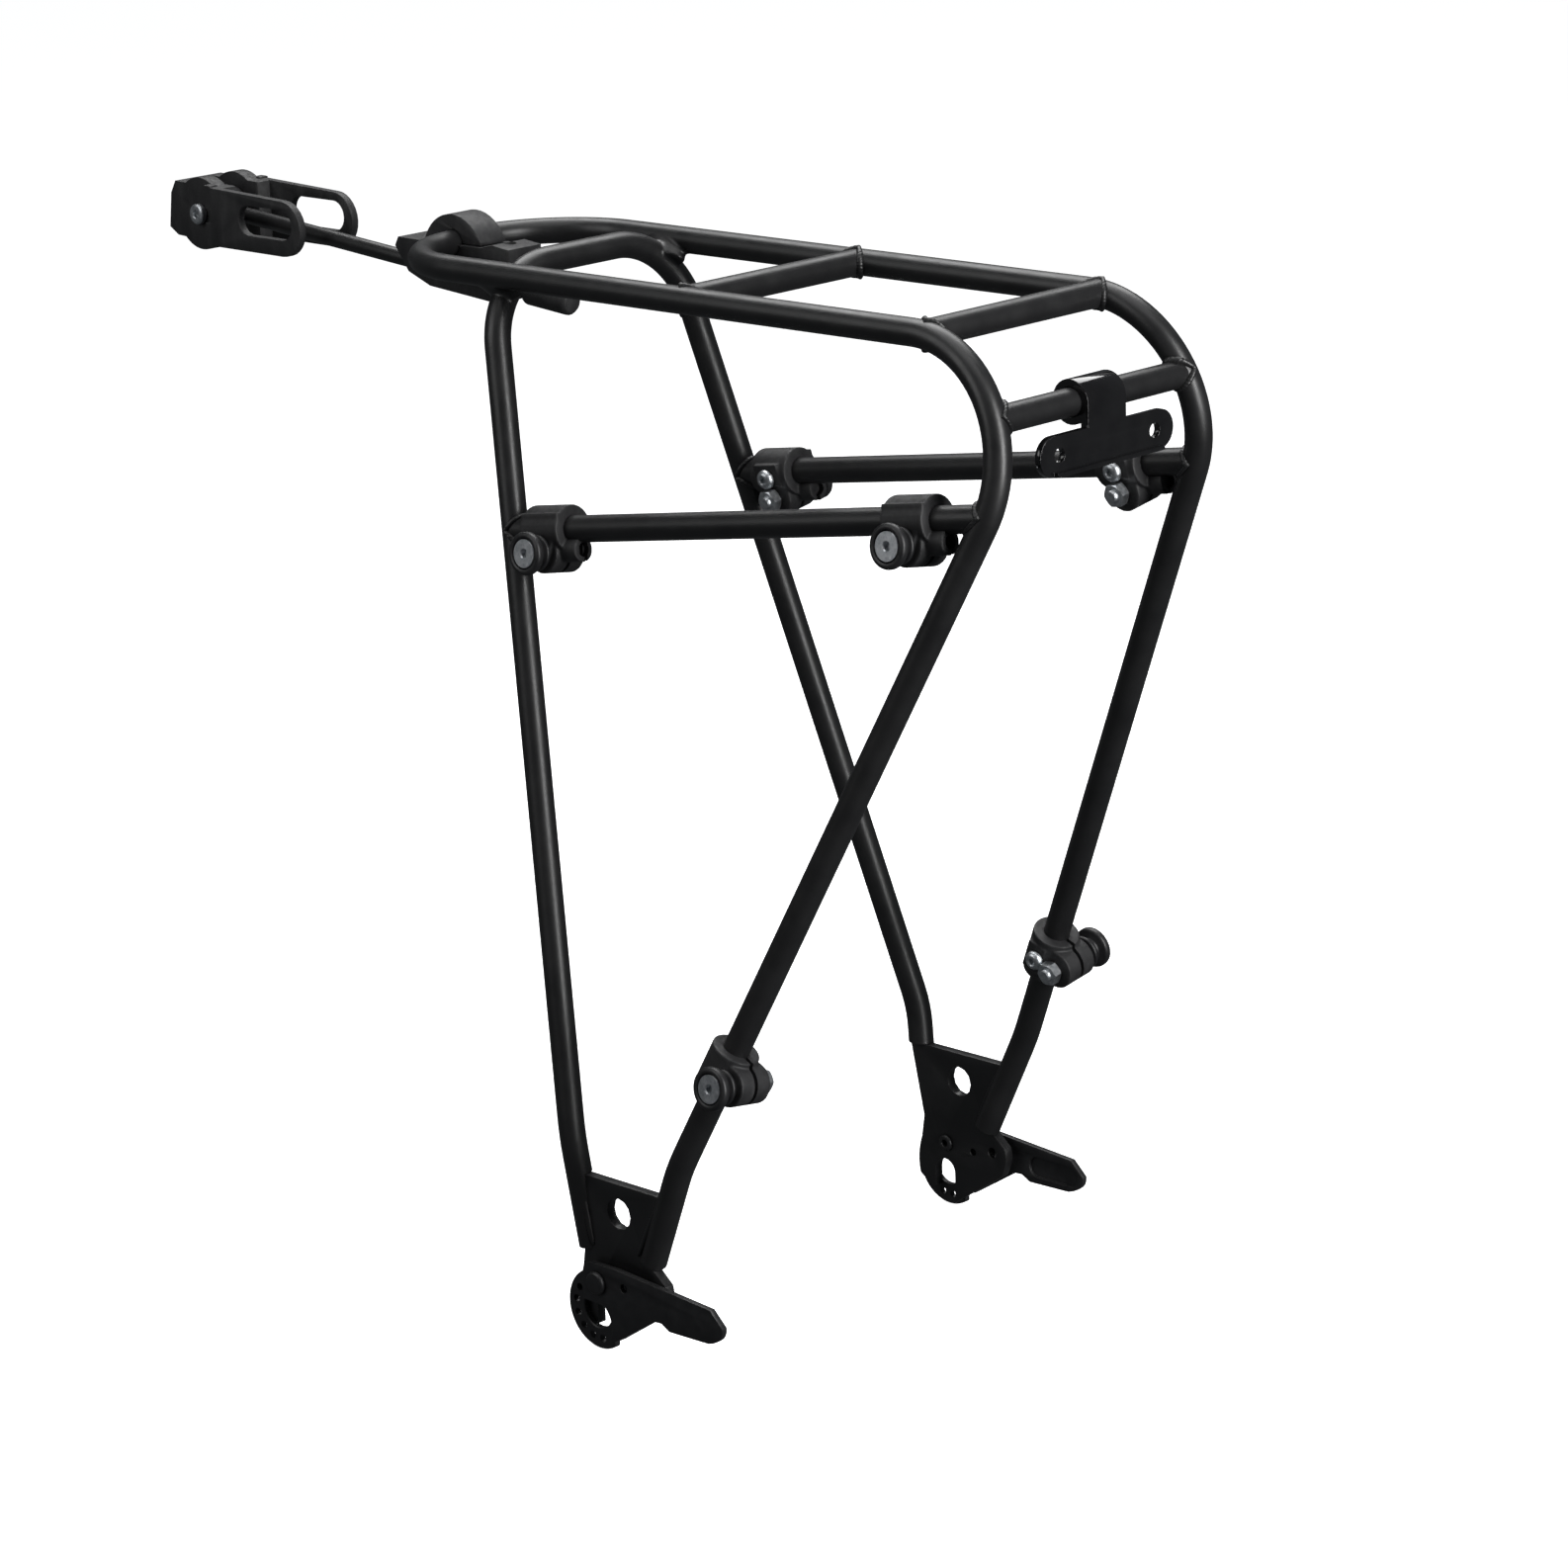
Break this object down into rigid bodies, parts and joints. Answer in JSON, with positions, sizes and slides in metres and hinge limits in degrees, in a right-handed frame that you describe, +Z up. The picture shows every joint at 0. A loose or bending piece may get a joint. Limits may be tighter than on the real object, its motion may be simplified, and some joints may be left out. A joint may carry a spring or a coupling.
{
  "type": "bicycle rear rack",
  "caption": "Tubular rear rack with splayed legs, quick-release feet, clamp-on pannier studs, an adjustable front stay with a seat-stay yoke, and a light bracket.",
  "frame": {"origin": "midway between the axes of the two frame studs that the feet hang on", "axes": "+X to the rear of the bicycle, +Y to its right, +Z up"},
  "size_m": [0.4855, 0.2126, 0.3981],
  "materials": {
    "powder_coat": "satin",
    "black_nylon": "matte",
    "black_steel": "matte",
    "gloss_black": "gloss",
    "zinc_steel": "satin"
  },
  "bodies": {
    "frame": {"deck_strut_mid": "powder_coat", "deck_strut_rear": "powder_coat", "foot_plate_left": "powder_coat", "foot_plate_right": "powder_coat", "front_hoop_tube": "powder_coat", "index_ring_left": "black_steel", "index_ring_right": "black_steel", "lever_rivet_left": "black_steel", "lever_rivet_right": "black_steel", "main_loop_tube": "powder_coat", "rear_crossbar": "powder_coat", "side_rail_left": "powder_coat", "side_rail_right": "powder_coat", "stay_clamp_body": "black_nylon", "stay_clamp_grub_screw": "zinc_steel", "stay_clamp_strap": "black_nylon"},
    "adapter_front_left": {"adapter_clamp_front_left": "black_nylon", "lock_screw_front_left": "zinc_steel", "pannier_stud_front_left": "black_steel", "stud_bolt_front_left": "zinc_steel", "stud_nut_front_left": "zinc_steel"},
    "adapter_front_right": {"adapter_clamp_front_right": "black_nylon", "lock_screw_front_right": "zinc_steel", "pannier_stud_front_right": "black_steel", "stud_bolt_front_right": "zinc_steel", "stud_nut_front_right": "zinc_steel"},
    "adapter_low_left": {"adapter_clamp_low_left": "black_nylon", "lock_screw_low_left": "zinc_steel", "pannier_stud_low_left": "black_steel", "stud_bolt_low_left": "zinc_steel", "stud_nut_low_left": "zinc_steel"},
    "adapter_low_right": {"adapter_clamp_low_right": "black_nylon", "lock_screw_low_right": "zinc_steel", "pannier_stud_low_right": "black_steel", "stud_bolt_low_right": "zinc_steel", "stud_nut_low_right": "zinc_steel"},
    "adapter_rear_left": {"adapter_clamp_rear_left": "black_nylon", "lock_screw_rear_left": "zinc_steel", "pannier_stud_rear_left": "black_steel", "stud_bolt_rear_left": "zinc_steel", "stud_nut_rear_left": "zinc_steel"},
    "adapter_rear_right": {"adapter_clamp_rear_right": "black_nylon", "lock_screw_rear_right": "zinc_steel", "pannier_stud_rear_right": "black_steel", "stud_bolt_rear_right": "zinc_steel", "stud_nut_rear_right": "zinc_steel"},
    "light_bracket": {"light_bracket": "gloss_black"},
    "lever_left": {"lock_lever_left": "black_steel"},
    "lever_right": {"lock_lever_right": "black_steel"},
    "yoke": {"seat_stay_yoke": "black_nylon", "yoke_nut": "zinc_steel", "yoke_screw": "zinc_steel"},
    "stay": {"stay_hub": "black_nylon", "stay_rod": "powder_coat", "stay_rod_cap": "black_nylon"}
  },
  "joints": [
    {"name": "lever_right_lock", "type": "hinge", "parent": "frame", "child": "lever_right", "pos_m": [0.001, 0.0992, 0.012], "axis": [0, -1, 0], "range_deg": [0, 34]},
    {"name": "lever_left_lock", "type": "hinge", "parent": "frame", "child": "lever_left", "pos_m": [0.001, -0.0992, 0.012], "axis": [0, -1, 0], "range_deg": [0, 34]},
    {"name": "adapter_front_right_slide", "type": "slide", "parent": "frame", "child": "adapter_front_right", "axis": [0.9889, -0.0232, 0.147], "range_m": [0, 0.06]},
    {"name": "adapter_rear_right_slide", "type": "slide", "parent": "frame", "child": "adapter_rear_right", "axis": [0.9889, -0.0232, 0.147], "range_m": [-0.06, 0]},
    {"name": "adapter_low_right_slide", "type": "slide", "parent": "frame", "child": "adapter_low_right", "axis": [0.432, -0.1407, 0.8908], "range_m": [0, 0.06]},
    {"name": "adapter_front_left_slide", "type": "slide", "parent": "frame", "child": "adapter_front_left", "axis": [0.9889, 0.0232, 0.147], "range_m": [0, 0.06]},
    {"name": "adapter_rear_left_slide", "type": "slide", "parent": "frame", "child": "adapter_rear_left", "axis": [0.9889, 0.0232, 0.147], "range_m": [-0.06, 0]},
    {"name": "adapter_low_left_slide", "type": "slide", "parent": "frame", "child": "adapter_low_left", "axis": [0.432, 0.1407, 0.8908], "range_m": [0, 0.06]},
    {"name": "stay_slide", "type": "slide", "parent": "frame", "child": "stay", "axis": [-0.9963, 0, 0.0857], "range_m": [-0.035, 0]},
    {"name": "yoke_pitch", "type": "hinge", "parent": "stay", "child": "yoke", "pos_m": [-0.2955, 0, 0.3682], "axis": [0, 1, 0], "range_deg": [-45, 60]},
    {"name": "light_bracket_tilt", "type": "hinge", "parent": "frame", "child": "light_bracket", "pos_m": [0.16, 0, 0.3445], "axis": [0, 1, 0], "range_deg": [-15, 20]}
  ]
}
